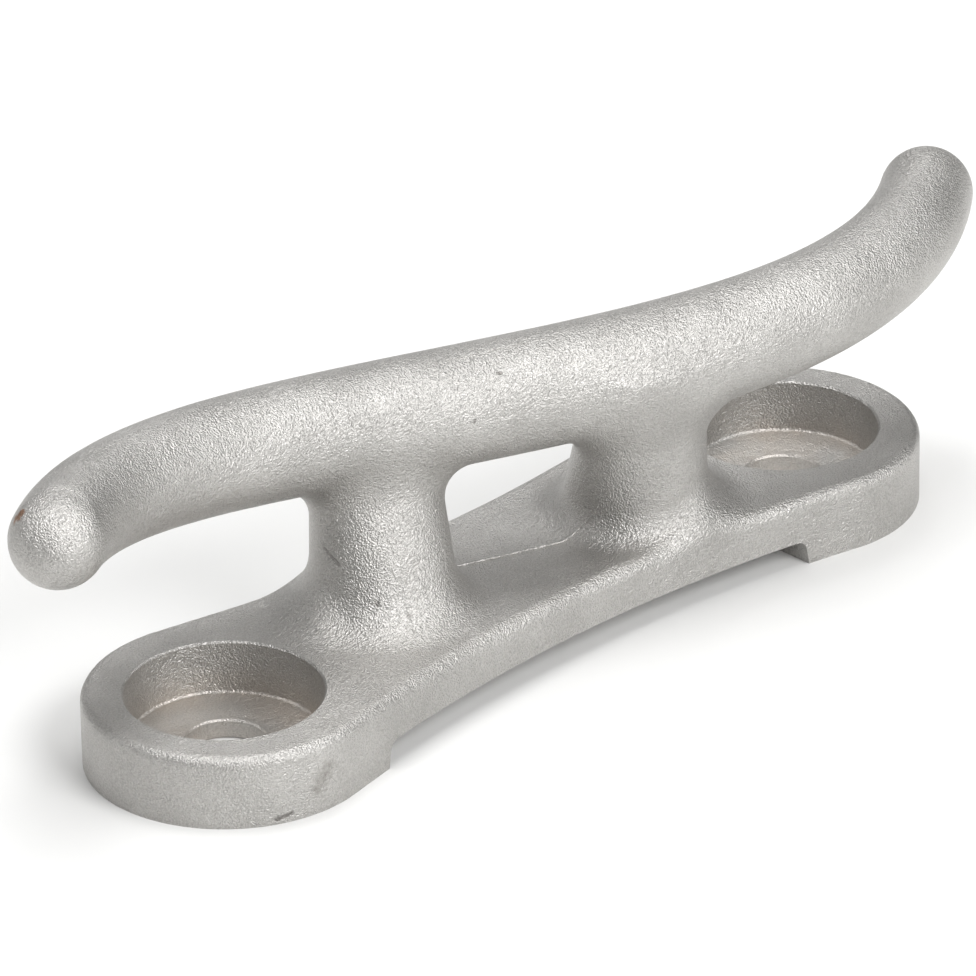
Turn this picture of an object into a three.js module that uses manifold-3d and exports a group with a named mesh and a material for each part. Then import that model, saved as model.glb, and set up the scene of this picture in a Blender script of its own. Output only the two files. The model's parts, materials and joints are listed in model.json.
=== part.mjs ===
// S-shaped mooring cleat: one stainless steel casting, in millimetres, +Z up.
// The origin is on the deck plane, midway between the two bolt axes, with +X along the base.
// The whole casting repeats itself when it is turned half a turn about Z.
import * as THREE from "three";
import { mergeVertices } from "three/addons/utils/BufferGeometryUtils.js";
import Module from "manifold-3d";

// Base: two round feet joined by a waisted web.
const BOLT_SPACING = 128;
const PAD_RADIUS = 23.8;
const PAD_CENTRE_X = 62.9;
const WAIST_HALF_WIDTH = 17;
const BASE_HEIGHT = 12.4;
const TOP_EDGE_RADIUS = 1.6;

// Recess under the web, which leaves the casting standing on its two feet.
const RECESS_HALF_LENGTH = 48.4;
const RECESS_HEIGHT = 4.5;
const RECESS_DRAFT = 0.9;

// Counterbore and bolt hole in each foot.
const COUNTERBORE_RIM_RADIUS = 16.1;
const COUNTERBORE_FLOOR_RADIUS = 15.7;
const COUNTERBORE_FLOOR_Z = 3.4;
const BOLT_HOLE_RADIUS = 6.5;

// Horn: a round bar whose axis sweeps sideways, y = -(A s + B s^3 + C s^5), and rises towards
// its tips, with s running from -1 at one tip's dome to +1 at the other's.
const HORN_HALF_LENGTH = 92.2;
const HORN_SWEEP_A = 35.7;
const HORN_SWEEP_B = -22.7;
const HORN_SWEEP_C = -6.8;
const HORN_AXIS_Z = 41.6;
const HORN_TIP_RISE = 6.3;
const HORN_MID_RADIUS = 9.8;
const HORN_TIP_RADIUS = 7.85;

// Posts: oval columns, wide across the base at the foot and narrow under the horn, so that the
// side towards the base's centreline leans. Both ends are flared, the foot most of all at its
// outer corner under the horn, and the flare at the foot stops at the edge of the web.
const POST_FOOT = { x: 25.4, y: -3.5 };
const POST_HEAD = { x: 22.5, y: -8.2 };
const POST_FOOT_Z = 16;
const POST_HEAD_Z = 32.6;
const POST_TOP_Z = 39;
const POST_TURN = THREE.MathUtils.degToRad(-18);
const POST_HALF_LENGTH = { foot: 12.2, head: 11.1 };
const POST_HALF_WIDTH = { foot: 11.2, head: 7.9 };
const POST_FOOT_FILLET = 5.6;
const POST_CORNER = { x: 0.89, y: -0.45 };
const POST_CORNER_SPREAD = 0.5;
const POST_HEAD_FILLET = 5.2;

// Facet counts.
const HORN_RINGS = 56;
const HORN_SIDES = 24;
const DOME_RINGS = 5;
const FILLET_RINGS = 5;
const POST_RINGS = 5;
const POST_SIDES = 32;
const ARC_SEGMENTS = 32;
const BORE_SEGMENTS = 48;

// How far shapes run past each other so that joins and cuts are clean, and the size of the
// blocks that cut away what lies under the deck plane or beside the web.
const MERGE_TOLERANCE = 1e-4;
const CUTTER_OVERRUN = 3;
const POST_ROOT_DEPTH = 1.5;
const FOOT_FILLET_SINK = 0.05;
const BELOW_DECK = { length: 240, width: 80, depth: 20 };
const RECESS_CUTTER_WIDTH = 60;
const TRIM_HEIGHT = 50;

const wasm = await Module();
wasm.setup();

/** Turns a closed three.js geometry into a solid that can be joined and cut. */
function toSolid(geometry) {
  const bare = geometry.index ? geometry.toNonIndexed() : geometry.clone();
  bare.deleteAttribute("normal");
  bare.deleteAttribute("uv");
  const merged = mergeVertices(bare, MERGE_TOLERANCE);
  return new wasm.Manifold(
    new wasm.Mesh({
      numProp: 3,
      vertProperties: new Float32Array(merged.attributes.position.array),
      triVerts: new Uint32Array(merged.index.array),
    }),
  );
}

/** Turns a solid back into a three.js geometry with flat facets. */
function toGeometry(solid) {
  const mesh = solid.getMesh();
  const geometry = new THREE.BufferGeometry();
  geometry.setAttribute("position", new THREE.BufferAttribute(mesh.vertProperties, 3));
  geometry.setIndex(new THREE.BufferAttribute(mesh.triVerts, 1));
  geometry.computeVertexNormals();
  return geometry;
}

/** Moves every vertex of a geometry with a function that edits a Vector3 in place. */
function deform(geometry, move) {
  const positions = geometry.attributes.position;
  const point = new THREE.Vector3();
  for (let i = 0; i < positions.count; i += 1) {
    point.fromBufferAttribute(positions, i);
    move(point);
    positions.setXYZ(i, point.x, point.y, point.z);
  }
  return geometry;
}

/** Plan outline of the base: pad arcs at both ends, met by tangent arcs that form the waist. */
function baseOutline() {
  const waistRadius =
    (PAD_CENTRE_X ** 2 + WAIST_HALF_WIDTH ** 2 - PAD_RADIUS ** 2) /
    (2 * (PAD_RADIUS - WAIST_HALF_WIDTH));
  const tangent = Math.asin(PAD_CENTRE_X / (waistRadius + PAD_RADIUS));
  const waistCentreY = WAIST_HALF_WIDTH + waistRadius;
  const up = Math.PI / 2;
  const arcs = [
    new THREE.EllipseCurve(
      PAD_CENTRE_X, 0, PAD_RADIUS, PAD_RADIUS, -up - tangent, up + tangent, false, 0,
    ),
    new THREE.EllipseCurve(
      0, waistCentreY, waistRadius, waistRadius, -up + tangent, -up - tangent, true, 0,
    ),
  ];
  const half = arcs.flatMap((arc) => arc.getPoints(ARC_SEGMENTS).slice(0, -1));
  const turned = half.map((point) => new THREE.Vector2(-point.x, -point.y));
  return new THREE.Shape([...half, ...turned]);
}

/** Base slab with a rounded top edge and a square bottom edge. */
function baseSlab() {
  const slab = new THREE.ExtrudeGeometry(baseOutline(), {
    depth: BASE_HEIGHT,
    curveSegments: 1,
    bevelThickness: TOP_EDGE_RADIUS,
    bevelSize: TOP_EDGE_RADIUS,
    bevelOffset: -TOP_EDGE_RADIUS,
    bevelSegments: 3,
  });
  slab.translate(0, 0, -TOP_EDGE_RADIUS);
  const below = new THREE.BoxGeometry(BELOW_DECK.length, BELOW_DECK.width, BELOW_DECK.depth);
  below.translate(0, 0, -BELOW_DECK.depth / 2);
  return toSolid(slab).subtract(toSolid(below));
}

/** Cutter for the recess under the web, wider at the bottom by its draft. */
function recessCutter() {
  const profile = new THREE.Shape();
  profile.moveTo(-RECESS_HALF_LENGTH, -CUTTER_OVERRUN);
  profile.lineTo(RECESS_HALF_LENGTH, -CUTTER_OVERRUN);
  profile.lineTo(RECESS_HALF_LENGTH, 0);
  profile.lineTo(RECESS_HALF_LENGTH - RECESS_DRAFT, RECESS_HEIGHT - RECESS_DRAFT);
  profile.lineTo(RECESS_HALF_LENGTH - 2 * RECESS_DRAFT, RECESS_HEIGHT);
  profile.lineTo(-RECESS_HALF_LENGTH + 2 * RECESS_DRAFT, RECESS_HEIGHT);
  profile.lineTo(-RECESS_HALF_LENGTH + RECESS_DRAFT, RECESS_HEIGHT - RECESS_DRAFT);
  profile.lineTo(-RECESS_HALF_LENGTH, 0);
  const block = new THREE.ExtrudeGeometry(profile, {
    depth: RECESS_CUTTER_WIDTH,
    bevelEnabled: false,
  });
  block.translate(0, 0, -RECESS_CUTTER_WIDTH / 2);
  block.rotateX(Math.PI / 2);
  return toSolid(block);
}

/** Cutter for a counterbore and its bolt hole, on the bolt axis at the given x. */
function boltCutter(x) {
  const top = BASE_HEIGHT + CUTTER_OVERRUN;
  const profile = [
    new THREE.Vector2(0, -CUTTER_OVERRUN),
    new THREE.Vector2(BOLT_HOLE_RADIUS, -CUTTER_OVERRUN),
    new THREE.Vector2(BOLT_HOLE_RADIUS, COUNTERBORE_FLOOR_Z),
    new THREE.Vector2(COUNTERBORE_FLOOR_RADIUS, COUNTERBORE_FLOOR_Z),
    new THREE.Vector2(COUNTERBORE_RIM_RADIUS, BASE_HEIGHT),
    new THREE.Vector2(COUNTERBORE_RIM_RADIUS, top),
    new THREE.Vector2(0, top),
  ];
  const cutter = new THREE.LatheGeometry(profile, BORE_SEGMENTS);
  cutter.rotateX(Math.PI / 2);
  cutter.translate(x, 0, 0);
  return toSolid(cutter);
}

/** Axis of the horn, from one dome's centre (t = 0) to the other's (t = 1). */
class HornAxis extends THREE.Curve {
  getPoint(t, target = new THREE.Vector3()) {
    const s = 2 * t - 1;
    const sweep = HORN_SWEEP_A * s + HORN_SWEEP_B * s ** 3 + HORN_SWEEP_C * s ** 5;
    return target.set(HORN_HALF_LENGTH * s, -sweep, HORN_AXIS_Z + HORN_TIP_RISE * s * s);
  }
}

/** Horn: a domed spindle turned on Z, then bent so that Z follows the horn's axis. */
function horn() {
  const axis = new HornAxis();
  const radiusAt = (s) => HORN_MID_RADIUS + (HORN_TIP_RADIUS - HORN_MID_RADIUS) * s * s;
  const dome = (k) => (Math.PI / 2) * (k / DOME_RINGS);
  const profile = [];
  for (let k = 0; k < DOME_RINGS; k += 1) {
    const back = -HORN_TIP_RADIUS * Math.cos(dome(k));
    profile.push(new THREE.Vector2(HORN_TIP_RADIUS * Math.sin(dome(k)), back - 1));
  }
  for (let i = 0; i <= HORN_RINGS; i += 1) {
    const s = (2 * i) / HORN_RINGS - 1;
    profile.push(new THREE.Vector2(radiusAt(s), s));
  }
  for (let k = DOME_RINGS - 1; k >= 0; k -= 1) {
    const ahead = HORN_TIP_RADIUS * Math.cos(dome(k));
    profile.push(new THREE.Vector2(HORN_TIP_RADIUS * Math.sin(dome(k)), ahead + 1));
  }
  profile[0].x = 0;
  profile[profile.length - 1].x = 0;
  const spindle = new THREE.LatheGeometry(profile, HORN_SIDES);
  const centre = new THREE.Vector3();
  const upright = new THREE.Vector3(0, 0, 1);
  return deform(spindle, (point) => {
    const s = THREE.MathUtils.clamp(point.y, -1, 1);
    const beyond = point.y - s;
    const t = (s + 1) / 2;
    axis.getPoint(t, centre);
    const along = axis.getTangent(t);
    const side = new THREE.Vector3().crossVectors(upright, along).normalize();
    const over = new THREE.Vector3().crossVectors(side, along);
    const { x, z } = point;
    point.copy(centre).addScaledVector(along, beyond);
    point.addScaledVector(side, x).addScaledVector(over, z);
  });
}

/** Heights of a post's rings, each with the reach of the fillet at that height. */
function postRings() {
  const rings = [{ z: BASE_HEIGHT - POST_ROOT_DEPTH, reach: POST_FOOT_FILLET }];
  const turn = (k) => (Math.PI / 2) * (k / FILLET_RINGS);
  for (let k = 0; k <= FILLET_RINGS; k += 1) {
    const z = BASE_HEIGHT - FOOT_FILLET_SINK + POST_FOOT_FILLET * (1 - Math.cos(turn(k)));
    rings.push({ z, reach: POST_FOOT_FILLET * (1 - Math.sin(turn(k))) });
  }
  const low = rings[rings.length - 1].z;
  const high = POST_HEAD_Z - POST_HEAD_FILLET;
  for (let k = 1; k < POST_RINGS; k += 1) {
    rings.push({ z: THREE.MathUtils.lerp(low, high, k / POST_RINGS), reach: 0 });
  }
  for (let k = 0; k <= FILLET_RINGS; k += 1) {
    const z = high + POST_HEAD_FILLET * Math.sin(turn(k));
    rings.push({ z, reach: POST_HEAD_FILLET * (1 - Math.cos(turn(k))) });
  }
  rings.push({ z: POST_TOP_Z, reach: POST_HEAD_FILLET });
  return rings;
}

/** Post on the +X side: an oval column, leaning and flared where it meets base and horn. */
function post() {
  const rings = postRings();
  const profile = rings.map((ring, k) => new THREE.Vector2(1, k));
  profile.unshift(new THREE.Vector2(0, 0));
  profile.push(new THREE.Vector2(0, rings.length - 1));
  const column = new THREE.LatheGeometry(profile, POST_SIDES);
  column.rotateX(Math.PI / 2);
  const mix = THREE.MathUtils.lerp;
  return deform(column, (point) => {
    const { z, reach } = rings[Math.round(point.z)];
    const up = (z - POST_FOOT_Z) / (POST_HEAD_Z - POST_FOOT_Z);
    const atFoot = z < POST_HEAD_Z - POST_HEAD_FILLET;
    const towardsCorner = Math.max(0, POST_CORNER.x * point.x + POST_CORNER.y * point.y);
    const spread = reach * (1 + POST_CORNER_SPREAD * towardsCorner ** 4);
    const flank = atFoot ? spread : 0;
    const ends = atFoot ? spread : reach * point.x ** 4;
    const x = point.x * (mix(POST_HALF_LENGTH.foot, POST_HALF_LENGTH.head, up) + ends);
    const y = point.y * (mix(POST_HALF_WIDTH.foot, POST_HALF_WIDTH.head, up) + flank);
    point.x = mix(POST_FOOT.x, POST_HEAD.x, up) + x * Math.cos(POST_TURN) - y * Math.sin(POST_TURN);
    point.y = mix(POST_FOOT.y, POST_HEAD.y, up) + x * Math.sin(POST_TURN) + y * Math.cos(POST_TURN);
    point.z = z;
  });
}

/** Both posts, trimmed so that their flares don't overhang the sides of the web. */
function posts() {
  const prism = new THREE.ExtrudeGeometry(baseOutline(), {
    depth: TRIM_HEIGHT,
    bevelEnabled: false,
  });
  const pair = toSolid(post()).add(toSolid(post().rotateZ(Math.PI)));
  return pair.intersect(toSolid(prism));
}

/** The finished casting: base, posts and horn joined, then recess and bolt holes cut. */
function casting() {
  return baseSlab()
    .add(posts())
    .add(toSolid(horn()))
    .subtract(recessCutter())
    .subtract(boltCutter(BOLT_SPACING / 2))
    .subtract(boltCutter(-BOLT_SPACING / 2));
}

const steel = new THREE.MeshStandardMaterial({ color: 0xa9a7a3, roughness: 0.45, metalness: 1 });
const cleatCasting = new THREE.Mesh(toGeometry(casting()), steel);
cleatCasting.name = "cleat_casting";

const cleat = new THREE.Group();
cleat.name = "cleat_horn";
cleat.add(cleatCasting);

export default cleat;
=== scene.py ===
"""S-shaped mooring cleat: one casting in bead-blasted stainless steel.

The casting is worked out as a distance rule (slab, leaning oval posts, swept tapering horn, all
met by fillets), turned into a mesh by Geometry Nodes, and then cut to crisp edges where the real
one has them. Lengths are in millimetres until a mesh is made, and in metres from then on.
"""

from __future__ import annotations

import json
import logging
import math
from dataclasses import dataclass, field, fields
from enum import Enum
from typing import Any, Mapping, Sequence, Union

import bmesh
import bpy
from mathutils import Matrix, Vector

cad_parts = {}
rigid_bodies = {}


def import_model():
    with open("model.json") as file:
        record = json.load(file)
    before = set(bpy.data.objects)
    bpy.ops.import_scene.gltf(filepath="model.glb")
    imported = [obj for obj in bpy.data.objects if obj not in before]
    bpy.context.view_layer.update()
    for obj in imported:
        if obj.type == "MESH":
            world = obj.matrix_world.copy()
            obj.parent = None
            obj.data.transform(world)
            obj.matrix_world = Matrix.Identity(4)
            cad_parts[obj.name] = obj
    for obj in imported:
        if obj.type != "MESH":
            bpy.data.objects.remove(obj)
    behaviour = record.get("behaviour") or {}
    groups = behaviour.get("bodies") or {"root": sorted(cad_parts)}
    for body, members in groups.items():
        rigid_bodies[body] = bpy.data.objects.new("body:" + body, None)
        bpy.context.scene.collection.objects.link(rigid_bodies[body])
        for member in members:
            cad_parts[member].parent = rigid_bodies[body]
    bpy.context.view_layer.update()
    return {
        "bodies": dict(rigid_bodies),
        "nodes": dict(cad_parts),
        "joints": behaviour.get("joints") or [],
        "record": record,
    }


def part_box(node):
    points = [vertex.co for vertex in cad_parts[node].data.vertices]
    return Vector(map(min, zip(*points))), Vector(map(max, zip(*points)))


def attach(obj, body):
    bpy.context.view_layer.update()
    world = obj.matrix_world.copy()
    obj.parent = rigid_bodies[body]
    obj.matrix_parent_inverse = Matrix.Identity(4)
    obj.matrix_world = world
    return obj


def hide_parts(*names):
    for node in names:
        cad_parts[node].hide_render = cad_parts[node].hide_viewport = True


LOG = logging.getLogger("cleat")
MM = 0.001
NODE = "cleat_casting"
BODY = "root"


# --- node building -------------------------------------------------------------------------


def add_node(
    tree: bpy.types.NodeTree,
    kind: str,
    settings: Mapping[str, Any] | None = None,
    inputs: Mapping[Any, Any] | None = None,
) -> bpy.types.Node:
    """Adds a node, with its settings, its values and its links.

    Args:
        tree: The node tree that gets the node.
        kind: The node's type name.
        settings: Properties of the node, by name.
        inputs: For an input's name or number, the Field or socket that feeds it, or its value.

    Returns:
        The new node.
    """
    node = tree.nodes.new(kind)
    for name, value in (settings or {}).items():
        setattr(node, name, value)
    for key, value in (inputs or {}).items():
        if isinstance(value, Field):
            value = value.socket
        if isinstance(value, bpy.types.NodeSocket):
            tree.links.new(value, node.inputs[key])
        else:
            node.inputs[key].default_value = value
    return node


@dataclass(frozen=True)
class Field:
    """A number that a node tree works out at every point, written as ordinary arithmetic."""

    tree: bpy.types.NodeTree
    socket: bpy.types.NodeSocket

    def calculate(self, operation: str, *operands: Number) -> Field:
        """Feeds operands to one Math node and gives its result."""
        node = add_node(
            self.tree, "ShaderNodeMath", {"operation": operation}, dict(enumerate(operands))
        )
        return Field(self.tree, node.outputs[0])

    def __add__(self, other: Number) -> Field:
        """Sum."""
        return self.calculate("ADD", self, other)

    def __radd__(self, other: float) -> Field:
        """Sum with a plain number first."""
        return self.calculate("ADD", other, self)

    def __sub__(self, other: Number) -> Field:
        """Difference."""
        return self.calculate("SUBTRACT", self, other)

    def __rsub__(self, other: float) -> Field:
        """Difference from a plain number."""
        return self.calculate("SUBTRACT", other, self)

    def __mul__(self, other: Number) -> Field:
        """Product."""
        return self.calculate("MULTIPLY", self, other)

    def __rmul__(self, other: float) -> Field:
        """Product with a plain number first."""
        return self.calculate("MULTIPLY", other, self)

    def __truediv__(self, other: Number) -> Field:
        """Quotient."""
        return self.calculate("DIVIDE", self, other)

    def __rtruediv__(self, other: float) -> Field:
        """Quotient of a plain number."""
        return self.calculate("DIVIDE", other, self)

    def __neg__(self) -> Field:
        """Opposite."""
        return self.calculate("MULTIPLY", self, -1.0)

    def __abs__(self) -> Field:
        """Size without its sign."""
        return self.calculate("ABSOLUTE", self)

    def root(self) -> Field:
        """Square root."""
        return self.calculate("SQRT", self)

    def smaller(self, other: Number) -> Field:
        """The smaller of the two."""
        return self.calculate("MINIMUM", self, other)

    def larger(self, other: Number) -> Field:
        """The larger of the two."""
        return self.calculate("MAXIMUM", self, other)

    def within(self, low: float, high: float) -> Field:
        """The number held between two limits."""
        return self.larger(low).smaller(high)

    def ramp(self, low: Number, high: Number) -> Field:
        """0 up to low, 1 from high, and smooth between them."""
        share = ((self - low) / (high - low)).within(0.0, 1.0)
        return share * share * (3.0 - 2.0 * share)


Number = Union[Field, float]


def hypotenuse(*sides: Field) -> Field:
    """Length of the vector that has these sides."""
    squares = [side * side for side in sides]
    total = squares[0]
    for square in squares[1:]:
        total = total + square
    return total.root()


def blend(low: Number, high: Number, share: Field) -> Field:
    """The number a share of the way from low to high."""
    return low + (high - low) * share


def fillet_join(first: Field, second: Field, radius: Number) -> Field:
    """Distance to two solids joined with a fillet of this radius in the corner."""
    reach = hypotenuse((radius - first).larger(0.0), (radius - second).larger(0.0))
    return first.smaller(second).larger(radius) - reach


def rounded_cut(first: Field, second: Field, radius: Field) -> Field:
    """Distance to what two solids share, with this radius on the edge."""
    beyond = hypotenuse((first + radius).larger(0.0), (second + radius).larger(0.0))
    return first.larger(second).smaller(-radius) + beyond


def title(name: str) -> str:
    """Name of a tree's input for a size, as people read it."""
    return name.replace("_", " ").title()


# --- the casting ---------------------------------------------------------------------------


@dataclass(frozen=True)
class CastingSizes:
    """Sizes of the casting in millimetres. It repeats itself when turned half a turn about Z."""

    pad_centre_x: float = 62.9
    pad_radius: float = 23.8
    waist_half_width: float = 17.0
    base_height: float = 12.4
    web_edge_radius: float = 2.2
    pad_edge_radius: float = 1.6
    horn_half_length: float = 92.2
    horn_sweep_first: float = 35.7
    horn_sweep_third: float = -22.7
    horn_sweep_fifth: float = -6.8
    horn_axis_height: float = 41.6
    horn_tip_rise: float = 6.3
    horn_middle_radius: float = 9.8
    horn_tip_radius: float = 7.85
    post_foot_x: float = 25.4
    post_foot_y: float = -3.5
    post_foot_height: float = 16.0
    post_head_x: float = 22.5
    post_head_y: float = -8.2
    post_head_height: float = 32.6
    post_foot_half_length: float = 12.2
    post_head_half_length: float = 11.1
    post_foot_half_width: float = 11.2
    post_head_half_width: float = 7.9
    post_turn: float = math.radians(-18.0)
    foot_fillet: float = 5.6
    foot_corner_fillet: float = 9.0
    head_fillet: float = 5.6
    tip_dressing_radius: float = 10.0
    tip_dressing_reach: float = 6.0


class DistanceRule:
    """Node group that gives a point's distance from the casting's skin, negative inside."""

    NEWTON_STEPS = 4
    ROOM_BELOW = 3.0
    DRESSED_SIDE = (-0.327, -0.349, 0.878)
    POST_REACH = (-0.6, 1.5)
    CORNER_FILLET_SPAN = (5.0, 12.0)
    WEB_TO_PAD_SPAN = (34.0, 54.0)
    TINY = 1e-6

    def __init__(self, sizes: CastingSizes) -> None:
        """Builds the group.

        Args:
            sizes: The casting's sizes, which become the group's inputs.
        """
        self.sizes = sizes
        self.tree = bpy.data.node_groups.new("cleat_distance", "GeometryNodeTree")
        panel = self.tree.interface
        panel.new_socket("Point", in_out="INPUT", socket_type="NodeSocketVector")
        for size in fields(sizes):
            socket = panel.new_socket(
                title(size.name), in_out="INPUT", socket_type="NodeSocketFloat"
            )
            socket.default_value = getattr(sizes, size.name)
        panel.new_socket("Distance", in_out="OUTPUT", socket_type="NodeSocketFloat")
        self.entry = add_node(self.tree, "NodeGroupInput")
        point = add_node(
            self.tree, "ShaderNodeSeparateXYZ", inputs={0: self.entry.outputs["Point"]}
        )
        x, y, z = (Field(self.tree, socket) for socket in point.outputs)
        distance = self.casting(x, y, z)
        add_node(self.tree, "NodeGroupOutput", inputs={"Distance": distance})

    def size(self, name: str) -> Field:
        """Input of the group for one size."""
        return Field(self.tree, self.entry.outputs[title(name)])

    def outline(self, x: Field, y: Field) -> Field:
        """Plan distance to the base: round pads met by tangent arcs that make the waist."""
        pad_x, pad_r = self.size("pad_centre_x"), self.size("pad_radius")
        waist = self.size("waist_half_width")
        waist_r = (pad_x * pad_x + waist * waist - pad_r * pad_r) / (2.0 * (pad_r - waist))
        centre_y = waist + waist_r
        across, beside = abs(x), abs(y)
        pad = hypotenuse(across - pad_x, y) - pad_r
        web = waist_r - hypotenuse(across, centre_y - beside)
        turn = centre_y * (pad_x - across) - pad_x * beside
        return blend(pad, web, turn.calculate("GREATER_THAN", turn, 0.0))

    def horn(self, x: Field, y: Field, z: Field) -> Field:
        """Distance to the horn, a tapering round bar on a curved axis, with domed tips."""
        reach = self.size("horn_half_length")
        first, third, fifth = (
            self.size(f"horn_sweep_{order}") for order in ("first", "third", "fifth")
        )
        height, rise = self.size("horn_axis_height"), self.size("horn_tip_rise")

        def offsets(place: Field) -> tuple[Field, Field, Field]:
            """Vector from the axis at this place to the point."""
            square = place * place
            sweep = place * (first + square * (third + square * fifth))
            return x - reach * place, y + sweep, z - (height + rise * square)

        place = (x / reach).within(-1.0, 1.0)
        for _ in range(self.NEWTON_STEPS):
            square = place * place
            slope_y = -(first + square * (3.0 * third + 5.0 * square * fifth))
            slope_z = 2.0 * rise * place
            dx, dy, dz = offsets(place)
            ahead = dx * reach + dy * slope_y + dz * slope_z
            speed = reach * reach + slope_y * slope_y + slope_z * slope_z
            place = (place + ahead / speed).within(-1.0, 1.0)
        middle, tip = self.size("horn_middle_radius"), self.size("horn_tip_radius")
        bar = hypotenuse(*offsets(place)) - blend(middle, tip, place * place)
        tip_point = (x + reach, y - (first + third + fifth), z - (height + rise))
        return bar.larger(self.dressed_tip(tip_point, tip))

    def dressed_tip(self, point: tuple[Field, Field, Field], tip: Field) -> Field:
        """Limit of the one tip that was dressed flatter where the feeder was cut off.

        Args:
            point: The point, measured from the centre of that tip's dome.
            tip: The dome's radius.

        Returns:
            Distance to the room that the dressing left, positive where metal was taken away.
        """
        radius, reach = self.size("tip_dressing_radius"), self.size("tip_dressing_reach")
        face = self.DRESSED_SIDE
        rim = (tip * tip - reach * reach).root()
        back = (radius * radius - reach * reach).root() - rim
        height = point[0] * face[0] + point[1] * face[1] + point[2] * face[2]
        dressed = hypotenuse(*(part + back * lean for part, lean in zip(point, face))) - radius
        return dressed.smaller(height - rim)

    def post(self, x: Field, y: Field, z: Field) -> tuple[Field, Field]:
        """Distance to the nearer post, and how far out a point is towards its outer corner."""
        half = x.calculate("SIGN", x)
        low, high = self.size("post_foot_height"), self.size("post_head_height")
        up = ((z - low) / (high - low)).within(*self.POST_REACH)
        east = abs(x) - blend(self.size("post_foot_x"), self.size("post_head_x"), up)
        north = y * half - blend(self.size("post_foot_y"), self.size("post_head_y"), up)
        turn = self.size("post_turn")
        cosine, sine = turn.calculate("COSINE", turn), turn.calculate("SINE", turn)
        along = east * cosine + north * sine
        over = north * cosine - east * sine
        long = blend(self.size("post_foot_half_length"), self.size("post_head_half_length"), up)
        wide = blend(self.size("post_foot_half_width"), self.size("post_head_half_width"), up)
        scaled = hypotenuse(along / long, over / wide)
        steep = hypotenuse(along / (long * long), over / (wide * wide))
        column = scaled * (scaled - 1.0) / (steep + self.TINY)
        corner = (east - north) * math.sqrt(0.5)
        return column.larger(z - self.size("horn_axis_height")), corner

    def casting(self, x: Field, y: Field, z: Field) -> Field:
        """Distance to the whole casting before its recess and bolt holes are cut."""
        post, corner = self.post(x, y, z)
        foot = blend(
            self.size("foot_fillet"), self.size("foot_corner_fillet"),
            corner.ramp(*self.CORNER_FILLET_SPAN),
        )
        lower = fillet_join(z - self.size("base_height"), post, foot)
        edge = blend(
            self.size("web_edge_radius"), self.size("pad_edge_radius"),
            abs(x).ramp(*self.WEB_TO_PAD_SPAN),
        )
        lower = rounded_cut(lower, self.outline(x, y), edge)
        lower = lower.larger(-self.ROOM_BELOW - z)
        return fillet_join(lower, self.horn(x, y, z), self.size("head_fillet"))


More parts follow.
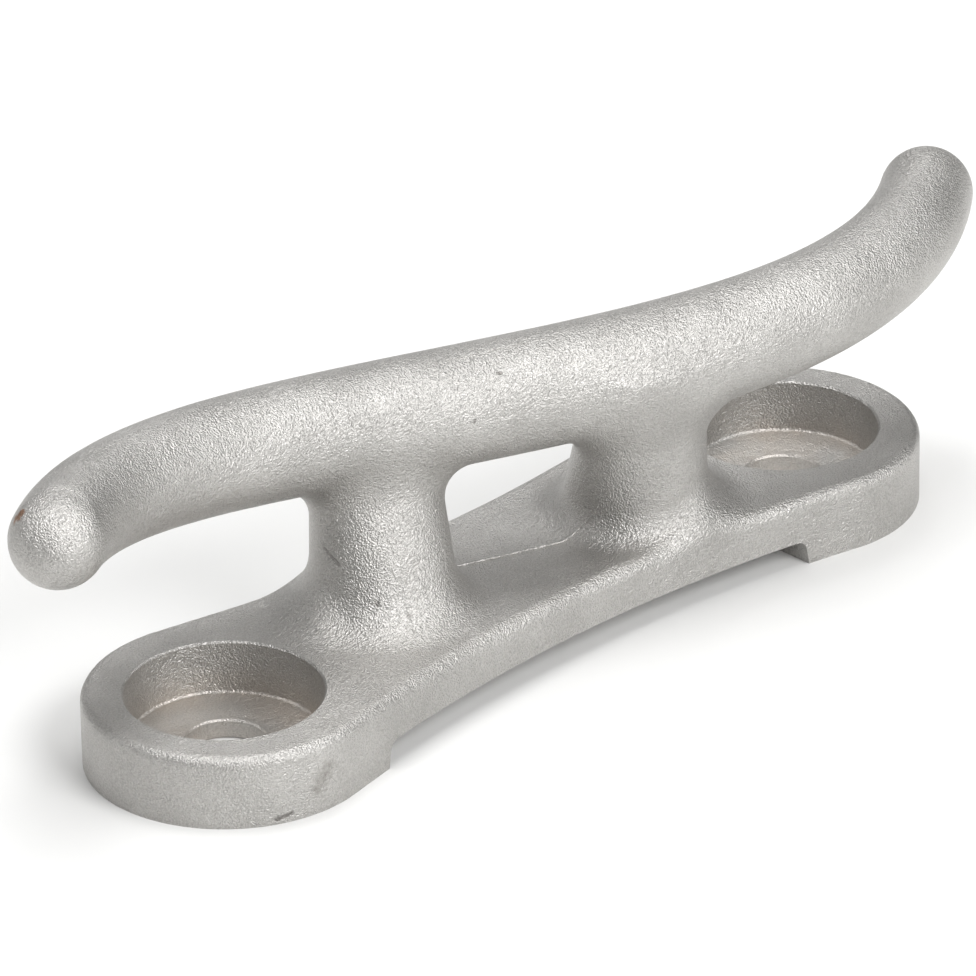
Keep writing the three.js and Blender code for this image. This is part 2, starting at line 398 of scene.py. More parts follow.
class CastingSkin:
    """Geometry Nodes tree that turns the distance rule into the casting's skin."""

    SPACING = 0.72
    PROBE = 0.04
    WAVE_HEIGHT = 0.07
    WAVE_SIZE = 9.0
    SEED = 4.0
    FAR_INSIDE = -10.0
    TINY = 1e-12

    def __init__(self, rule: DistanceRule) -> None:
        """Builds the tree.

        Args:
            rule: The distance rule that says where the skin is.
        """
        self.rule = rule
        self.tree = bpy.data.node_groups.new("cleat_skin", "GeometryNodeTree")
        panel = self.tree.interface
        panel.new_socket("Geometry", in_out="OUTPUT", socket_type="NodeSocketGeometry")
        panel.new_socket("Low Corner", in_out="INPUT", socket_type="NodeSocketVector")
        panel.new_socket("High Corner", in_out="INPUT", socket_type="NodeSocketVector")
        for name in ("Grid Spacing", "Wave Height", "Wave Size", "Seed"):
            panel.new_socket(name, in_out="INPUT", socket_type="NodeSocketFloat")
        for size in fields(rule.sizes):
            panel.new_socket(title(size.name), in_out="INPUT", socket_type="NodeSocketFloat")
        panel.new_socket("Material", in_out="INPUT", socket_type="NodeSocketMaterial")
        self.entry = add_node(self.tree, "NodeGroupInput")
        skin = self.waves(self.seated(self.seated(self.rough_skin())))
        real = add_node(self.tree, "GeometryNodeRealizeInstances", inputs={0: skin})
        done = add_node(
            self.tree, "GeometryNodeSetMaterial",
            inputs={"Geometry": real.outputs[0], "Material": self.entry.outputs["Material"]},
        )
        add_node(self.tree, "NodeGroupOutput", inputs={0: done.outputs[0]})

    def vector(self, operation: str, *operands: Any) -> bpy.types.NodeSocket:
        """Result of one Vector Math node, whose second operand is a number when it scales."""
        keys = (0, "Scale") if operation == "SCALE" else (0, 1)
        node = add_node(
            self.tree, "ShaderNodeVectorMath", {"operation": operation}, dict(zip(keys, operands))
        )
        return node.outputs["Value" if operation == "DOT_PRODUCT" else "Vector"]

    def place(self) -> bpy.types.NodeSocket:
        """The point that is being worked on, in millimetres."""
        return self.vector(
            "SCALE", add_node(self.tree, "GeometryNodeInputPosition").outputs[0], 1.0 / MM
        )

    def distance(self, point: bpy.types.NodeSocket) -> Field:
        """Distance of a point from the skin."""
        feeds = {
            title(size.name): self.entry.outputs[title(size.name)]
            for size in fields(self.rule.sizes)
        }
        node = add_node(
            self.tree, "GeometryNodeGroup", {"node_tree": self.rule.tree},
            {"Point": point, **feeds},
        )
        return Field(self.tree, node.outputs["Distance"])

    def rough_skin(self) -> bpy.types.NodeSocket:
        """Skin taken from a grid of distances, right to a small part of the grid's spacing."""
        low, high = (self.entry.outputs[name] for name in ("Low Corner", "High Corner"))
        span = add_node(
            self.tree, "ShaderNodeSeparateXYZ", inputs={0: self.vector("SUBTRACT", high, low)}
        )
        spacing = Field(self.tree, self.entry.outputs["Grid Spacing"])
        counts = [Field(self.tree, side) / spacing for side in span.outputs]
        grid = add_node(
            self.tree, "GeometryNodeVolumeCube",
            inputs={
                "Density": -self.distance(self.place()),
                "Background": self.FAR_INSIDE,
                "Min": self.vector("SCALE", low, MM),
                "Max": self.vector("SCALE", high, MM),
                "Resolution X": counts[0],
                "Resolution Y": counts[1],
                "Resolution Z": counts[2],
            },
        )
        skin = add_node(
            self.tree, "GeometryNodeVolumeToMesh",
            inputs={"Volume": grid.outputs[0], "Threshold": 0.0, "Adaptivity": 0.0},
        )
        return skin.outputs[0]

    def seated(self, skin: bpy.types.NodeSocket) -> bpy.types.NodeSocket:
        """Moves each vertex along the rule's slope, onto the exact skin."""
        place = self.place()
        probes = [(1.0, 1.0, 1.0), (1.0, -1.0, -1.0), (-1.0, 1.0, -1.0), (-1.0, -1.0, 1.0)]
        slope = level = None
        for probe in probes:
            offset = tuple(self.PROBE * part for part in probe)
            value = self.distance(self.vector("ADD", place, offset))
            weighted = self.vector("SCALE", probe, value)
            slope = weighted if slope is None else self.vector("ADD", slope, weighted)
            level = value if level is None else level + value
        steepness = Field(self.tree, self.vector("DOT_PRODUCT", slope, slope))
        step = level * (-self.PROBE * MM) / (steepness + self.TINY)
        moved = add_node(
            self.tree, "GeometryNodeSetPosition",
            inputs={"Geometry": skin, "Offset": self.vector("SCALE", slope, step)},
        )
        return moved.outputs[0]

    def waves(self, skin: bpy.types.NodeSocket) -> bpy.types.NodeSocket:
        """Gives the skin the shallow hollows and swells of a casting."""
        feeds = {
            name: Field(self.tree, self.entry.outputs[name])
            for name in ("Wave Height", "Wave Size", "Seed")
        }
        noise = add_node(
            self.tree, "ShaderNodeTexNoise", {"noise_dimensions": "4D"},
            {
                "Vector": self.place(),
                "W": feeds["Seed"],
                "Scale": 1.0 / feeds["Wave Size"],
                "Detail": 2.0,
            },
        )
        lift = (Field(self.tree, noise.outputs[0]) - 0.5) * feeds["Wave Height"] * MM
        normal = add_node(self.tree, "GeometryNodeInputNormal").outputs[0]
        moved = add_node(
            self.tree, "GeometryNodeSetPosition",
            inputs={"Geometry": skin, "Offset": self.vector("SCALE", normal, lift)},
        )
        return moved.outputs[0]


class PartingBead:
    """Geometry Nodes tree that lays a fine ragged bead of metal along a path on the casting."""

    SPACING = 0.25
    SIDES = 8
    RUN_OUT = 0.22
    RAGGED_WIDTH = 0.7
    RAGGEDNESS = 1.4
    END_SHARE = 0.15

    def __init__(self) -> None:
        """Builds the tree."""
        self.tree = bpy.data.node_groups.new("parting_bead", "GeometryNodeTree")
        panel = self.tree.interface
        panel.new_socket("Geometry", in_out="OUTPUT", socket_type="NodeSocketGeometry")
        panel.new_socket("Path", in_out="INPUT", socket_type="NodeSocketGeometry")
        panel.new_socket("Casting", in_out="INPUT", socket_type="NodeSocketObject")
        for name in ("Spacing", "Bead Radius", "Run Out", "Ragged Width"):
            panel.new_socket(name, in_out="INPUT", socket_type="NodeSocketFloat")
        panel.new_socket("Material", in_out="INPUT", socket_type="NodeSocketMaterial")
        self.entry = add_node(self.tree, "NodeGroupInput")
        circle = add_node(
            self.tree, "GeometryNodeCurvePrimitiveCircle",
            inputs={"Resolution": self.SIDES, "Radius": MM},
        )
        bead = add_node(
            self.tree, "GeometryNodeCurveToMesh",
            inputs={
                "Curve": self.laid_path(),
                "Profile Curve": circle.outputs["Curve"],
                "Scale": self.thickness(),
                "Fill Caps": True,
            },
        )
        real = add_node(self.tree, "GeometryNodeRealizeInstances", inputs={0: bead.outputs[0]})
        done = add_node(
            self.tree, "GeometryNodeSetMaterial",
            inputs={"Geometry": real.outputs[0], "Material": self.entry.outputs["Material"]},
        )
        add_node(self.tree, "NodeGroupOutput", inputs={0: done.outputs[0]})

    def size(self, name: str) -> Field:
        """Input of the tree for one size."""
        return Field(self.tree, self.entry.outputs[name])

    def laid_path(self) -> bpy.types.NodeSocket:
        """The path as a smooth curve that lies on the casting's skin."""
        smooth = add_node(
            self.tree, "GeometryNodeCurveSplineType", {"spline_type": "CATMULL_ROM"},
            {"Curve": self.entry.outputs["Path"]},
        )
        stepped = add_node(
            self.tree, "GeometryNodeResampleCurve", {"mode": "LENGTH"},
            {"Curve": smooth.outputs[0], "Length": self.size("Spacing") * MM},
        )
        casting = add_node(
            self.tree, "GeometryNodeObjectInfo", {"transform_space": "RELATIVE"},
            {"Object": self.entry.outputs["Casting"]},
        )
        skin = add_node(
            self.tree, "GeometryNodeProximity", {"target_element": "FACES"},
            {"Geometry": casting.outputs["Geometry"]},
        )
        laid = add_node(
            self.tree, "GeometryNodeSetPosition",
            inputs={"Geometry": stepped.outputs[0], "Position": skin.outputs["Position"]},
        )
        return laid.outputs[0]

    def thickness(self) -> Field:
        """Radius along the bead: ragged, and running out to a point at both ends."""
        along = Field(self.tree, add_node(self.tree, "GeometryNodeSplineParameter").outputs[0])
        to_end = along.smaller(1.0 - along)
        taper = blend(self.END_SHARE, 1.0, to_end.ramp(0.0, self.size("Run Out")))
        noise = add_node(
            self.tree, "ShaderNodeTexNoise",
            inputs={"Scale": 1.0 / (self.size("Ragged Width") * MM), "Detail": 1.0},
        )
        ragged = (Field(self.tree, noise.outputs[0]) - 0.5) * self.RAGGEDNESS + 1.0
        return self.size("Bead Radius") * taper * ragged


# --- meshes --------------------------------------------------------------------------------


class SolidStep(Enum):
    """What one solid does to another."""

    CUT = "DIFFERENCE"
    JOIN = "UNION"


def new_object(name: str, mesh: bpy.types.Mesh) -> bpy.types.Object:
    """Puts a mesh in the scene as an object at the origin."""
    piece = bpy.data.objects.new(name, mesh)
    bpy.context.scene.collection.objects.link(piece)
    return piece


def run_tree(
    piece: bpy.types.Object, tree: bpy.types.NodeTree, values: Mapping[str, Any]
) -> bpy.types.Mesh:
    """Runs a Geometry Nodes tree on an object and gives the result as a plain mesh.

    Args:
        piece: The object that the tree works on.
        tree: The tree.
        values: The tree's inputs, by their names.

    Returns:
        The finished mesh. The object is left without the modifier.
    """
    modifier = piece.modifiers.new("nodes", "NODES")
    modifier.node_group = tree
    for item in tree.interface.items_tree:
        if item.item_type == "SOCKET" and item.in_out == "INPUT" and item.name in values:
            modifier[item.identifier] = values[item.name]
    mesh = evaluated(piece)
    piece.modifiers.remove(modifier)
    return mesh


def evaluated(piece: bpy.types.Object) -> bpy.types.Mesh:
    """Plain mesh of an object with its modifiers worked out."""
    graph = bpy.context.evaluated_depsgraph_get()
    graph.update()
    return bpy.data.meshes.new_from_object(piece.evaluated_get(graph), depsgraph=graph)


def work_solid(piece: bpy.types.Object, step: SolidStep, other: bpy.types.Object) -> None:
    """Cuts a solid with another or joins them, which uses the other one up.

    Args:
        piece: The solid that is changed.
        step: Whether the other solid cuts it or is joined to it.
        other: The other solid.
    """
    modifier = piece.modifiers.new("solid", "BOOLEAN")
    modifier.operation = step.value
    modifier.solver = "MANIFOLD"
    modifier.object = other
    mesh = evaluated(piece)
    piece.modifiers.remove(modifier)
    piece.data = mesh
    bpy.data.objects.remove(other)


def turned_solid(
    name: str, profile: Sequence[tuple[float, float]], centre_x: float, steps: int
) -> bpy.types.Object:
    """Solid turned about an upright axis.

    Args:
        name: The object's name.
        profile: Radius and height of each corner, from the axis and back to it.
        centre_x: Where the axis stands.
        steps: Sides of the turned solid.

    Returns:
        The solid, as an object.
    """
    shape = bmesh.new()
    rings = []
    for radius, height in profile:
        count = steps if radius > 0.0 else 1
        rings.append([
            shape.verts.new((
                (centre_x + radius * math.cos(math.tau * step / steps)) * MM,
                radius * math.sin(math.tau * step / steps) * MM,
                height * MM,
            ))
            for step in range(count)
        ])
    for lower, upper in zip(rings, rings[1:]):
        for step in range(steps):
            following = (step + 1) % steps
            corners = [
                lower[step % len(lower)], lower[following % len(lower)],
                upper[following % len(upper)], upper[step % len(upper)],
            ]
            shape.faces.new(list(dict.fromkeys(corners)))
    return finished(name, shape)


def extruded_solid(
    name: str, profile: Sequence[tuple[float, float]], half_width: float
) -> bpy.types.Object:
    """Solid with one outline in X and Z, drawn out along Y.

    Args:
        name: The object's name.
        profile: X and Z of each corner.
        half_width: How far the solid reaches on each side of Y = 0.

    Returns:
        The solid, as an object.
    """
    shape = bmesh.new()
    sides = [
        [shape.verts.new((x * MM, y * MM, z * MM)) for x, z in profile]
        for y in (-half_width, half_width)
    ]
    for step in range(len(profile)):
        following = (step + 1) % len(profile)
        shape.faces.new([
            sides[0][step], sides[0][following], sides[1][following], sides[1][step],
        ])
    for side in sides:
        shape.faces.new(side)
    return finished(name, shape)


def finished(name: str, shape: bmesh.types.BMesh) -> bpy.types.Object:
    """Turns a closed shape into an object whose faces point outwards."""
    bmesh.ops.recalc_face_normals(shape, faces=shape.faces)
    mesh = bpy.data.meshes.new(name)
    shape.to_mesh(mesh)
    shape.free()
    return new_object(name, mesh)


def arc(
    centre: tuple[float, float], radius: float, start: float, end: float, steps: int
) -> list[tuple[float, float]]:
    """Points along an arc, with its angles in degrees."""
    angles = (math.radians(start + (end - start) * step / steps) for step in range(steps + 1))
    return [
        (centre[0] + radius * math.cos(angle), centre[1] + radius * math.sin(angle))
        for angle in angles
    ]


# --- finishes ------------------------------------------------------------------------------


def linear(code: str) -> tuple[float, float, float, float]:
    """Colour that a shader needs for an sRGB hex code such as #A9A7A3."""
    parts = [int(code[place : place + 2], 16) / 255.0 for place in (1, 3, 5)]
    red, green, blue = (
        part / 12.92 if part <= 0.04045 else ((part + 0.055) / 1.055) ** 2.4 for part in parts
    )
    return red, green, blue, 1.0


@dataclass(frozen=True)
class Blemish:
    """Small mark on the skin, round or drawn out along a line, in millimetres."""

    name: str
    start: tuple[float, float, float]
    end: tuple[float, float, float]
    radius: float
    colour: str
    cover: float
    depth: float = 0.0
    core: float = 0.45

    def share(self, point: Sequence[Field], ragged: Field) -> Field:
        """How much of a point the mark covers.

        Args:
            point: The point's X, Y and Z in millimetres.
            ragged: A noise about 0, which breaks up the mark's edge.

        Returns:
            1 in the middle of the mark and 0 outside it.
        """
        run = [last - first for first, last in zip(self.start, self.end)]
        length = sum(part * part for part in run) or 1.0
        offset = [part - first for part, first in zip(point, self.start)]
        ahead = sum(part * (step / length) for part, step in zip(offset, run))
        ahead = ahead.within(0.0, 1.0)
        gap = hypotenuse(*(part - ahead * step for part, step in zip(offset, run)))
        return 1.0 - (gap / self.radius + ragged).ramp(self.core, 1.0)


@dataclass(frozen=True)
class BlastedStainless:
    """Cast 316 stainless steel, blasted with beads and left so: a satin skin that sparkles.

    The beads' dents break the reflections up. Real ones are about a tenth of a millimetre wide
    and are drawn three times as wide, so that they show. Shallower hollows a millimetre wide lie
    under them. The steel's tone drifts from place to place and is warmer where blasting dust
    has stayed in the counterbores.
    """

    name: str = "blasted_cast_stainless"
    bright: str = "#CBC9C6"
    dull: str = "#B0AEAB"
    dusty: str = "#BEB4AA"
    roughness: float = 0.45
    dent_width: float = 0.31
    dent_depth: float = 0.28
    swell_width: float = 0.95
    swell_depth: float = 0.15
    cloud_width: float = 14.0
    cloud_share: float = 1.6
    # How much darker the dents are painted: partly their own tone, partly painted shade of the
    # dents.
    speckle: float = 2.2
    dust_fill: float = 0.4
    dust_patchiness: float = 3.0
    dust_cover: float = 0.4
    ragged_share: float = 1.6
    bolt_axis_x: float = 64.0
    bore_edge: tuple[float, float] = (15.6, 16.0)
    dust_heights: tuple[float, float] = (8.0, 12.0)
    blemishes: tuple[Blemish, ...] = (
        Blemish("tea_stain", (-97.5, 9.4, 52.6), (-97.1, 9.2, 53.2), 1.1, "#8A5A2E", 0.75,
                core=0.3),
        Blemish("foot_pit", (-73.0, -21.7, 0.9), (-70.9, -22.4, 1.5), 0.6, "#55504B", 0.6, 0.10,
                core=0.2),
        Blemish("wall_smudge", (-63.8, -23.8, 7.4), (-66.0, -23.5, 4.6), 2.3, "#77716B", 0.6,
                core=-0.4),
        Blemish("post_scratch", (-35.4, 6.6, 24.6), (-35.3, 3.3, 22.7), 0.32, "#7C7874", 0.5, 0.06),
        Blemish("post_pit_high", (-33.6, -3.3, 17.6), (-33.5, -3.6, 17.1), 0.5, "#6A6661", 0.6,
                0.10,
                core=0.1),
        Blemish("post_pit_low", (-30.2, -7.4, 15.6), (-30.0, -7.6, 15.3), 0.5, "#6A6661", 0.6, 0.10,
                core=0.1),
        Blemish("foot_nick", (85.5, 0.1, 12.4), (85.5, 0.1, 12.4), 0.6, "#8C8883", 0.6, 0.12),
        Blemish("horn_pit_high", (-5.9, -4.3, 49.2), (-6.1, -4.2, 49.2), 0.4, "#77736E", 0.7, 0.12),
        Blemish("horn_pit_low", (-12.7, -5.4, 43.6), (-12.9, -5.4, 43.3), 0.4, "#77736E", 0.6,
                0.12),
    )

    def make(self) -> bpy.types.Material:
        """Builds the material."""
        material = bpy.data.materials.new(self.name)
        material.use_nodes = True
        tree = material.node_tree
        tree.nodes.clear()
        place = add_node(tree, "ShaderNodeTexCoord").outputs["Object"]
        parts = add_node(tree, "ShaderNodeSeparateXYZ", inputs={0: place}).outputs
        point = [Field(tree, part) / MM for part in parts]

        def noise(width: float, detail: float) -> Field:
            """Noise about 0 whose patches are this wide in millimetres."""
            node = add_node(
                tree, "ShaderNodeTexNoise",
                inputs={"Vector": place, "Scale": 1.0 / (width * MM), "Detail": detail},
            )
            return Field(tree, node.outputs[0]) - 0.5

        dents = noise(self.dent_width, 1.0)
        colour = self.tone(tree, point, noise(self.cloud_width, 4.0), dents)
        height = dents * (1.0 - self.sheltered(point) * self.dust_fill) * self.dent_depth
        height = height + noise(self.swell_width, 1.0) * self.swell_depth
        ragged = noise(self.swell_width, 2.0) * self.ragged_share
        for blemish in self.blemishes:
            share = blemish.share(point, ragged)
            colour = add_node(
                tree, "ShaderNodeMix", {"data_type": "RGBA", "label": blemish.name},
                {0: share * blemish.cover, 6: colour, 7: linear(blemish.colour)},
            ).outputs[2]
            if blemish.depth:
                height = height - share * blemish.depth
        bump = add_node(
            tree, "ShaderNodeBump", inputs={"Strength": 1.0, "Distance": MM, "Height": height}
        )
        shader = add_node(
            tree, "ShaderNodeBsdfPrincipled",
            inputs={"Base Color": colour, "Metallic": 1.0,
                    "Roughness": self.roughness, "Normal": bump.outputs[0]},
        )
        add_node(tree, "ShaderNodeOutputMaterial", inputs={0: shader.outputs[0]})
        return material

    def sheltered(self, point: Sequence[Field]) -> Field:
        """1 low down inside the counterbores, where dust stays, and 0 outside them."""
        from_bolt = hypotenuse(abs(point[0]) - self.bolt_axis_x, point[1])
        deep = 1.0 - point[2].ramp(*self.dust_heights)
        return (1.0 - from_bolt.ramp(*self.bore_edge)) * deep

    def tone(
        self, tree: bpy.types.NodeTree, point: Sequence[Field], clouds: Field, dents: Field
    ) -> bpy.types.NodeSocket:
        """The steel's colour: cloudy, darker in the dents (partly their own tone, partly painted
        shade of the dents), and dusty inside the counterbores.

        Args:
            tree: The material's node tree.
            point: The point's X, Y and Z in millimetres.
            clouds: Noise about 0 that drifts from place to place.
            dents: Noise about 0 that follows the dents.

        Returns:
            The colour's socket.
        """
        # The dents are darkened in the colour as well as bumped: partly their own tone, partly
        # painted shade of the dents.
        steel = add_node(
            tree, "ShaderNodeMix", {"data_type": "RGBA"},
            {
                0: (clouds * self.cloud_share + dents * self.speckle + 0.5).within(0.0, 1.0),
                6: linear(self.dull),
                7: linear(self.bright),
            },
        )
        patches = (clouds * self.dust_patchiness + self.dust_cover).within(0.0, 1.0)
        dusted = add_node(
            tree, "ShaderNodeMix", {"data_type": "RGBA"},
            {
                0: self.sheltered(point) * patches,
                6: steel.outputs[2],
                7: linear(self.dusty),
            },
        )
        return dusted.outputs[2]


@dataclass(frozen=True)
class PaleFloor:
    """Matt white studio table: even and bright, with no grain of its own."""

    name: str = "matt_white_table"
    colour: str = "#EBEBEA"

    def make(self) -> bpy.types.Material:
        """Builds the material."""
        material = bpy.data.materials.new(self.name)
        material.use_nodes = True
        shader = material.node_tree.nodes["Principled BSDF"]
        shader.inputs["Base Color"].default_value = linear(self.colour)
        shader.inputs["Roughness"].default_value = 0.9
        shader.inputs["Specular IOR Level"].default_value = 0.2
        return material


# --- sub-assemblies ------------------------------------------------------------------------


@dataclass(frozen=True)
class PartingLine:
    """Where the mould's halves met: points near the skin, in millimetres, and the bead's size."""

    name: str
    points: tuple[tuple[float, float, float], ...]
    bead_radius: float

    def mate(self) -> PartingLine:
        """The same line half a turn round the casting."""
        turned = tuple((-x, -y, z) for x, y, z in self.points)
        return PartingLine(f"{self.name}_mate", turned, self.bead_radius)

    def path(self) -> bpy.types.Object:
        """The line as a curve object."""
        curve = bpy.data.curves.new(self.name, "CURVE")
        curve.dimensions = "3D"
        spline = curve.splines.new("POLY")
        spline.points.add(len(self.points) - 1)
        for point, place in zip(spline.points, self.points):
            point.co = (*(part * MM for part in place), 1.0)
        path = bpy.data.objects.new(self.name, curve)
        bpy.context.scene.collection.objects.link(path)
        return path


WEB_LINE = PartingLine(
    "web_parting_line",
    (
        (-13.2, 8.3, 24.5), (-13.7, 6.5, 18.3), (-12.3, 4.0, 14.1), (-8.5, 3.0, 12.4),
        (0.0, 0.0, 12.4),
        (8.5, -3.0, 12.4), (12.3, -4.0, 14.1), (13.7, -6.5, 18.3), (13.2, -8.3, 24.5),
    ),
    0.2,
)
FOOT_LINE = PartingLine(
    "foot_parting_line", ((-42.0, 0.3, 12.4), (-38.5, 1.6, 13.4), (-35.6, 2.9, 18.0)), 0.12
)
HORN_LINE = PartingLine(
    "horn_parting_line",
    ((-16.5, 4.0, 51.3), (-7.5, 0.9, 51.3), (-2.4, -0.8, 51.3), (4.5, -3.6, 51.3)), 0.12,
)


@dataclass
class Casting:
    """The cleat's one casting: base with two feet, two posts and the horn."""

    sizes: CastingSizes = field(default_factory=CastingSizes)
    parting_lines: tuple[PartingLine, ...] = (
        WEB_LINE, FOOT_LINE, FOOT_LINE.mate(), HORN_LINE,
    )
    bolt_axis_x: float = 64.0
    seat_height: float = 3.4
    bolt_hole_radius: float = 6.5
    floor_radius: float = 15.7
    rim_radius: float = 16.1
    recess_half_length: float = 48.3
    recess_roof_half_length: float = 46.2
    recess_height: float = 4.5
    bore_sides: int = 144
    smooth_angle: float = math.radians(28.0)
    grid_spare: float = 1.5
    bore_edge: float = 0.3
    bore_corner: float = 0.6
    cutter_overrun: float = 6.0
    roof_corner: float = 1.9
    ground_half_length: float = 140.0
    ground_half_width: float = 60.0
    ground_depth: float = 20.0

    @classmethod
    def from_frame(cls, frame: Mapping[str, Any]) -> Casting:
        """Takes the bolt seats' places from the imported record.


        Returns:
            The casting, ready to be built.
        """
        openings = {item["name"]: item["box_m"] for item in frame["record"]["physics"]["openings"]}
        hole = openings["bolt_hole_plus_x"]
        mounts = {item["name"]: item["pos_m"] for item in frame["record"]["mounts"]}
        return cls(
            bolt_axis_x=(hole[0][0] + hole[1][0]) / 2.0 / MM,
            seat_height=mounts["bolt_seat_plus_x"][2] / MM,
        )

    def skin(self, material: bpy.types.Material) -> bpy.types.Object:
        """Grows the casting's skin around the frame's node, before anything is cut."""
        low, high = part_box(NODE)
        spare = Vector((self.grid_spare,) * 3)
        base = bpy.data.meshes.new("seed")
        piece = new_object("cleat", base)
        builder = CastingSkin(DistanceRule(self.sizes))
        values: dict[str, Any] = {
            title(size.name): getattr(self.sizes, size.name) for size in fields(self.sizes)
        }
        values.update({
            "Low Corner": low / MM - spare - Vector((0.0, 0.0, DistanceRule.ROOM_BELOW)),
            "High Corner": high / MM + spare,
            "Grid Spacing": CastingSkin.SPACING,
            "Wave Height": CastingSkin.WAVE_HEIGHT,
            "Wave Size": CastingSkin.WAVE_SIZE,
            "Seed": CastingSkin.SEED,
            "Material": material,
        })
        piece.data = run_tree(piece, builder.tree, values)
        return piece

    def bolt_cutter(self, side: float) -> bpy.types.Object:
        """Cutter for one foot's counterbore and bolt hole, with their broken edges."""
        top, seat = self.sizes.base_height, self.seat_height
        hole, floor, rim = self.bolt_hole_radius, self.floor_radius, self.rim_radius
        edge, corner, overrun = self.bore_edge, self.bore_corner, self.cutter_overrun
        profile = [
            (0.0, -overrun), (hole + edge, -overrun), (hole + edge, 0.0), (hole, edge),
            (hole, seat - edge), (hole + edge, seat),
            *arc((floor - corner, seat + corner), corner, -90.0, 0.0, 5),
            (rim, top - edge), (rim + 2.0 * edge, top + edge), (rim + 2.0 * edge, top + overrun),
            (0.0, top + overrun),
        ]
        return turned_solid("bolt_cutter", profile, side * self.bolt_axis_x, self.bore_sides)

    def ground_cutter(self) -> bpy.types.Object:
        """Cutter that leaves the feet flat, and the recess between them."""
        foot, roof, height = (
            self.recess_half_length, self.recess_roof_half_length, self.recess_height,
        )
        corner, reach, depth = self.roof_corner, self.ground_half_length, self.ground_depth
        bend = arc((roof - 0.3, height - corner), corner, 12.0, 90.0, 7)
        east = [(foot, 0.0), *bend]
        west = [(-x, z) for x, z in reversed(east)]
        profile = [(-reach, -depth), (reach, -depth), (reach, 0.0), *east, *west, (-reach, 0.0)]
        return extruded_solid("ground_cutter", profile, self.ground_half_width)

    def bead(
        self, line: PartingLine, tree: bpy.types.NodeTree, piece: bpy.types.Object,
        material: bpy.types.Material,
    ) -> bpy.types.Object:
        """Makes the bead that one parting line left.

        Args:
            line: The parting line.
            tree: The tree that lays a bead.
            piece: The casting that the bead lies on.
            material: The bead's material.

        Returns:
            The bead, as a closed solid.
        """
        path = line.path()
        mesh = run_tree(path, tree, {
            "Casting": piece,
            "Spacing": PartingBead.SPACING,
            "Bead Radius": line.bead_radius,
            "Run Out": PartingBead.RUN_OUT,
            "Ragged Width": PartingBead.RAGGED_WIDTH,
            "Material": material,
        })
        bpy.data.objects.remove(path)
        return new_object(f"{line.name}_bead", mesh)

    def build(self, finish: BlastedStainless) -> bpy.types.Object:
        """Builds, cuts and dresses the casting.

        Args:
            finish: The casting's finish.

        Returns:
            The finished piece.
        """
        material = finish.make()
        piece = self.skin(material)
        for cutter in (self.ground_cutter(), self.bolt_cutter(1.0), self.bolt_cutter(-1.0)):
            cutter.data.materials.append(material)
            work_solid(piece, SolidStep.CUT, cutter)
        bead_tree = PartingBead().tree
        beads = [self.bead(line, bead_tree, piece, material) for line in self.parting_lines]
        for bead in beads:
            work_solid(piece, SolidStep.JOIN, bead)
        LOG.info("cleat: %d parting beads", len(beads))
        piece.data.name = piece.name
        piece.data.shade_smooth()
        piece.data.set_sharp_from_angle(angle=self.smooth_angle)
        LOG.info("cleat: %d faces", len(piece.data.polygons))
        return piece


@dataclass(frozen=True)
class SoftBox:
    """Round studio softbox, placed by its bearing from the camera and its height, in degrees."""

    name: str
    bearing: float
    height: float
    watts: float
    distance: float = 2.0
    width: float = 1.22

    def build(self, camera_bearing: float) -> None:
        """Hangs the softbox, aimed at the cleat.

        Args:
            camera_bearing: Where the camera stands round the cleat, in radians from +X.
        """
        turn = camera_bearing + math.radians(self.bearing)
        rise = math.radians(self.height)
        away = Vector((
            math.cos(rise) * math.cos(turn), math.cos(rise) * math.sin(turn), math.sin(rise),
        ))
        lamp = bpy.data.lights.new(self.name, "AREA")
        lamp.shape = "DISK"
        lamp.size = self.width
        lamp.energy = self.watts
        holder = bpy.data.objects.new(self.name, lamp)
        bpy.context.scene.collection.objects.link(holder)
        holder.location = away * self.distance
        holder.rotation_euler = (-away).to_track_quat("-Z", "Y").to_euler()


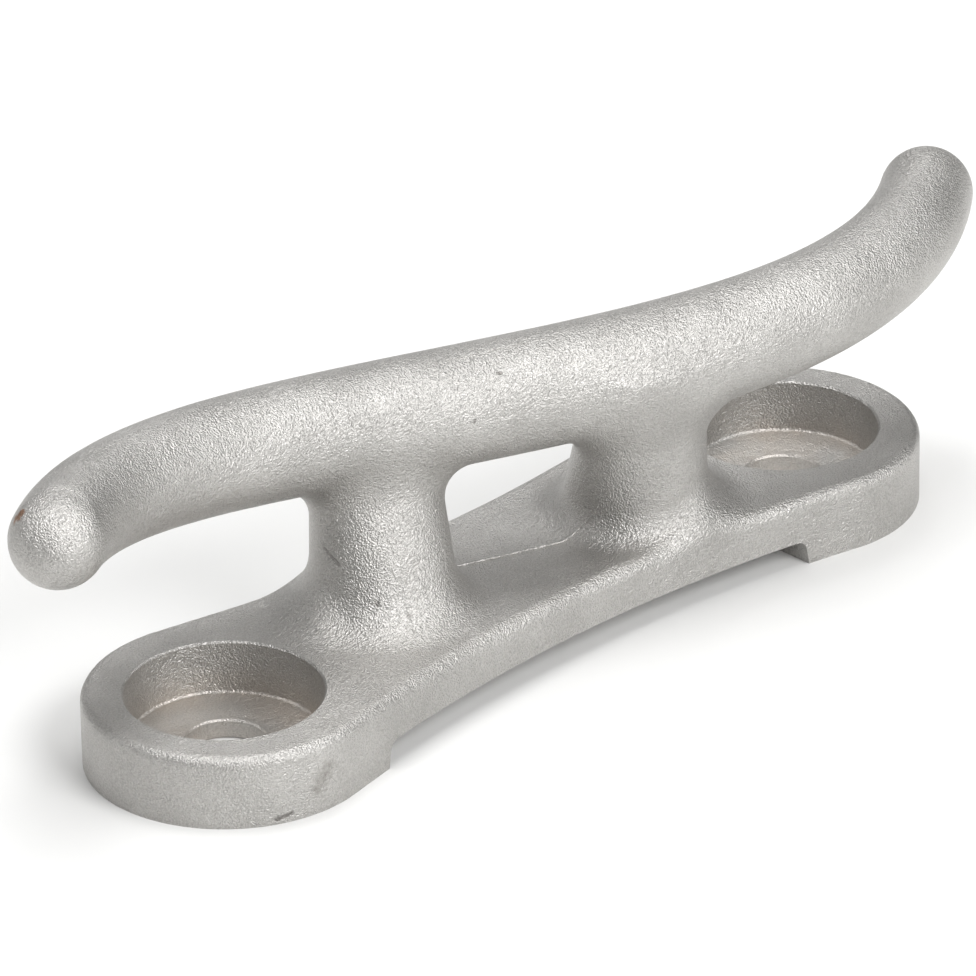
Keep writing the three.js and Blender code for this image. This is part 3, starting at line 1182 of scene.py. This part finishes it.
@dataclass
class Studio:
    """Plain pale table, soft light all round, and the camera."""

    azimuth: float = 0.7700
    elevation: float = 0.4959
    roll: float = -0.0158
    distance: float = 1.4784
    lens: float = 332.24
    sensor: float = 36.0
    shift: tuple[float, float] = (-0.0243, 0.1360)
    table_half_width: float = 6.0
    world_strength: float = 0.2
    world_colour: str = "#FFFFFF"
    boxes: tuple[SoftBox, ...] = (
        SoftBox("overhead_softbox", 0.0, 90.0, 18.0),
        SoftBox("back_softbox", 180.0, 65.0, 10.5),
        SoftBox("front_right_softbox", 45.0, 38.0, 26.0),
        SoftBox("right_softbox", 90.0, 38.0, 3.0),
        SoftBox("left_softbox", 270.0, 38.0, 7.5),
        SoftBox("low_right_softbox", 45.0, 12.0, 3.0),
        SoftBox("low_back_softbox", 180.0, 12.0, 1.5),
    )

    def camera(self) -> None:
        """Sets the camera up, looking at the middle of the base from its front left corner."""
        back = Vector((
            -math.cos(self.elevation) * math.sin(self.azimuth),
            -math.cos(self.elevation) * math.cos(self.azimuth),
            math.sin(self.elevation),
        ))
        right = Vector((math.cos(self.azimuth), -math.sin(self.azimuth), 0.0))
        up = back.cross(right)
        turn = Matrix.Rotation(self.roll, 3, back)
        right, up = turn @ right, turn @ up
        data = bpy.data.cameras.new("camera")
        data.lens, data.sensor_width = self.lens, self.sensor
        data.shift_x, data.shift_y = self.shift
        data.clip_end = 50.0
        holder = bpy.data.objects.new("camera", data)
        bpy.context.scene.collection.objects.link(holder)
        turned = Matrix((right, up, back)).transposed().to_4x4()
        holder.matrix_world = Matrix.Translation(back * self.distance) @ turned
        bpy.context.scene.camera = holder

    def table(self, finish: PaleFloor) -> None:
        """Lays the table top just under the feet."""
        half = self.table_half_width
        mesh = bpy.data.meshes.new("table")
        corners = [(-half, -half, 0.0), (half, -half, 0.0), (half, half, 0.0), (-half, half, 0.0)]
        mesh.from_pydata(corners, [], [(0, 1, 2, 3)])
        mesh.materials.append(finish.make())
        new_object("table", mesh)

    def light(self) -> None:
        """Lights the room evenly and hangs the softboxes."""
        world = bpy.data.worlds.new("studio")
        bpy.context.scene.world = world
        world.use_nodes = True
        background = world.node_tree.nodes["Background"]
        background.inputs["Color"].default_value = linear(self.world_colour)
        background.inputs["Strength"].default_value = self.world_strength
        camera_bearing = math.atan2(-math.cos(self.azimuth), -math.sin(self.azimuth))
        for box in self.boxes:
            box.build(camera_bearing)

    def build(self) -> None:
        """Builds the table, the lights and the camera."""
        self.camera()
        self.table(PaleFloor())
        self.light()
        bpy.context.scene.view_settings.view_transform = "Standard"


def main() -> None:
    """Builds the studio and the cleat, and ties the cleat to the frame."""
    logging.basicConfig(level=logging.INFO, format="%(name)s: %(message)s")
    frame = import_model()
    Studio().build()
    LOG.info("studio: table, lights and camera")
    piece = Casting.from_frame(frame).build(BlastedStainless())
    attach(piece, BODY)
    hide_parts(NODE)


if __name__ == "__main__":
    main()
